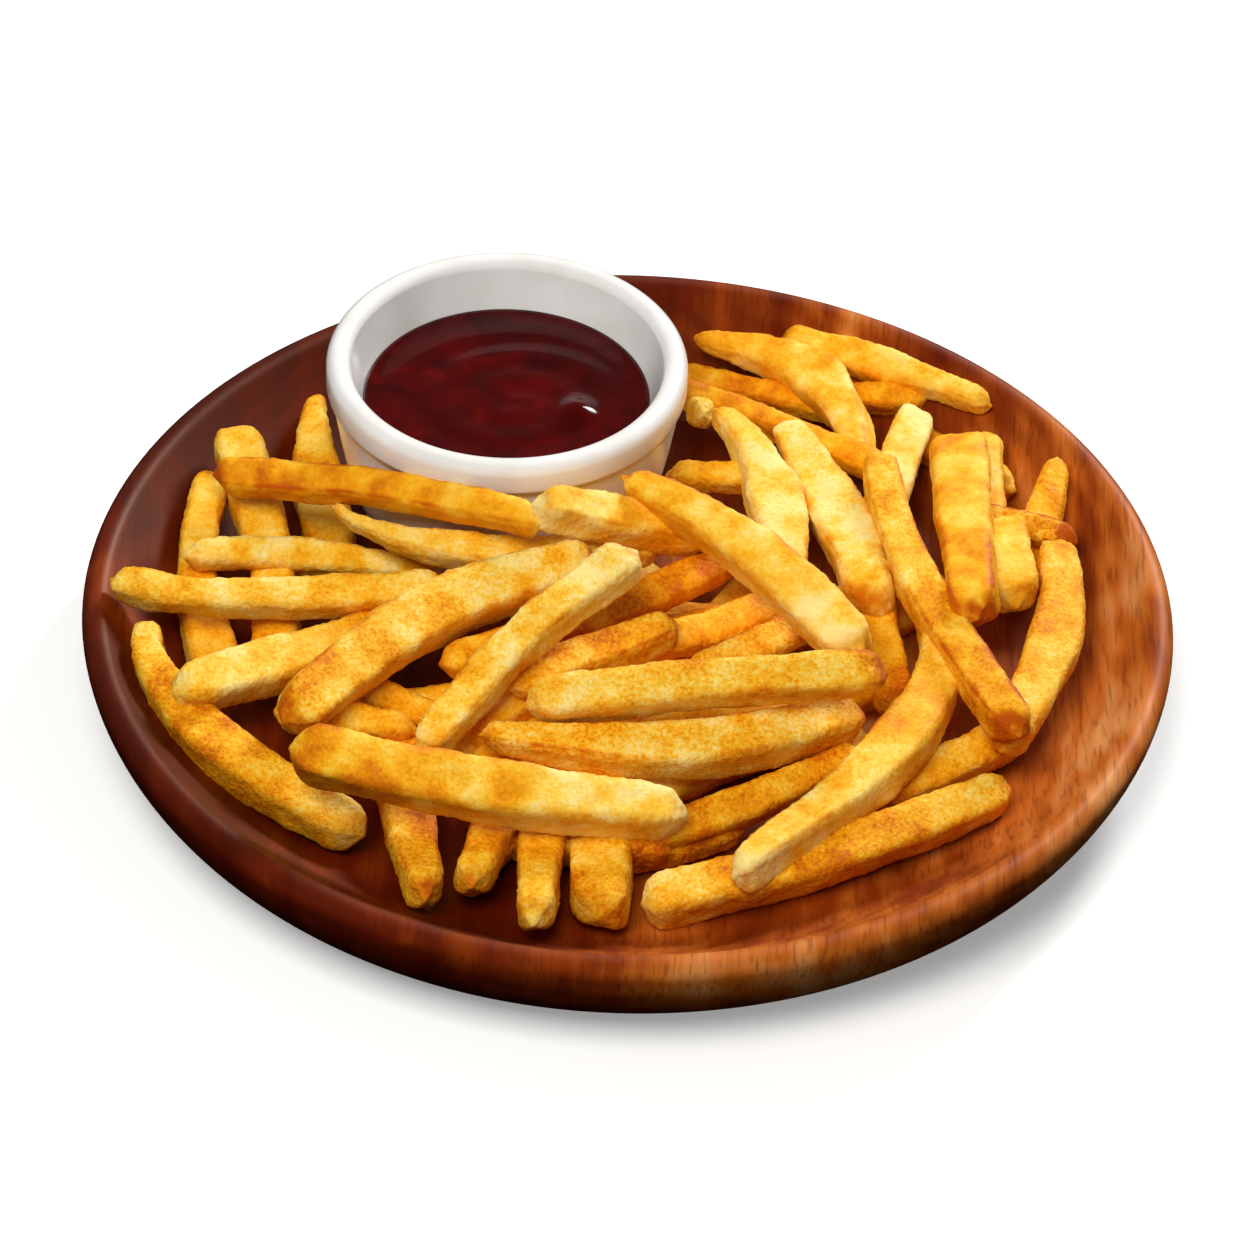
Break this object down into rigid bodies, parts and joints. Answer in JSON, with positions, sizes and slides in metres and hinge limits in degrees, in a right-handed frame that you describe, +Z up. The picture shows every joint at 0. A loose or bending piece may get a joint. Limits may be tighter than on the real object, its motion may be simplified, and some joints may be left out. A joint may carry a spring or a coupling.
{
  "type": "plate of french fries with ketchup",
  "caption": "Round wooden plate heaped with golden french fries, with a white ramekin of ketchup standing at its back.",
  "frame": {"origin": "on the plate's axis, at the flat base that it stands on", "axes": "+Z up along the plate's axis; -Y towards the front of the heap, with the ramekin at the back towards +Y"},
  "size_m": [0.26, 0.26, 0.0566],
  "materials": {
    "oiled_wood": "satin",
    "white_glaze": "gloss",
    "ketchup": "gloss",
    "fried_potato": "satin"
  },
  "bodies": {
    "root": {"plate": "oiled_wood", "ramekin": "white_glaze", "ketchup": "ketchup", "fries": "fried_potato"}
  },
  "joints": []
}
